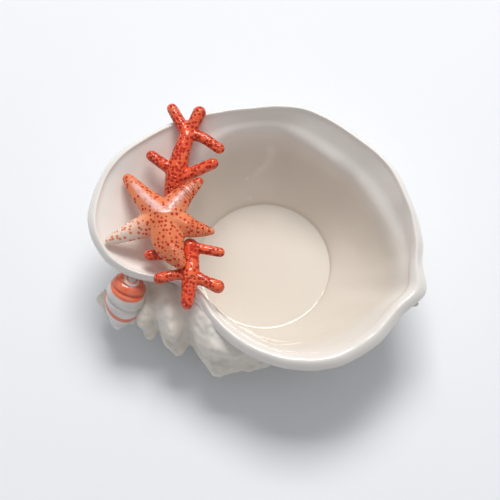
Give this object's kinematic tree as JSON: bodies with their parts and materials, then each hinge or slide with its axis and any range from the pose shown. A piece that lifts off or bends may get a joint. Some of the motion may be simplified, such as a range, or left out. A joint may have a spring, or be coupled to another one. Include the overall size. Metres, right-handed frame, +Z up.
{
  "type": "conch-shaped ceramic serving bowl",
  "caption": "Glazed ceramic serving bowl in the form of a conch, its lip flared into a wing that carries coral sprigs, a starfish and a striped snail shell.",
  "frame": {"origin": "on the table, under the middle of the object's box", "axes": "+Z up; +X from the pointed spire towards the pouring tip of the canal; +Y towards the high far side of the rim"},
  "size_m": [0.2396, 0.1966, 0.0949],
  "materials": {
    "white_glaze": "warm white, high gloss; bare clay on the foot ring",
    "coral_glaze": "orange-red, high gloss, pitted with darker dots",
    "starfish_glaze": "orange fading to cream on one arm, dotted, glossy",
    "snail_glaze": "pale grey-white with orange spiral stripes, glossy"
  },
  "bodies": {
    "root": {"shell_bowl": "white_glaze", "coral_upper_stem": "coral_glaze", "coral_upper_crown_left": "coral_glaze", "coral_upper_crown_right": "coral_glaze", "coral_upper_right": "coral_glaze", "coral_upper_lower_right": "coral_glaze", "coral_upper_left": "coral_glaze", "coral_lower_stem": "coral_glaze", "coral_lower_upper_right": "coral_glaze", "coral_lower_upper_left": "coral_glaze", "coral_lower_left": "coral_glaze", "coral_lower_bottom": "coral_glaze", "coral_lower_right": "coral_glaze", "starfish": "starfish_glaze", "snail_shell": "snail_glaze"}
  },
  "joints": []
}
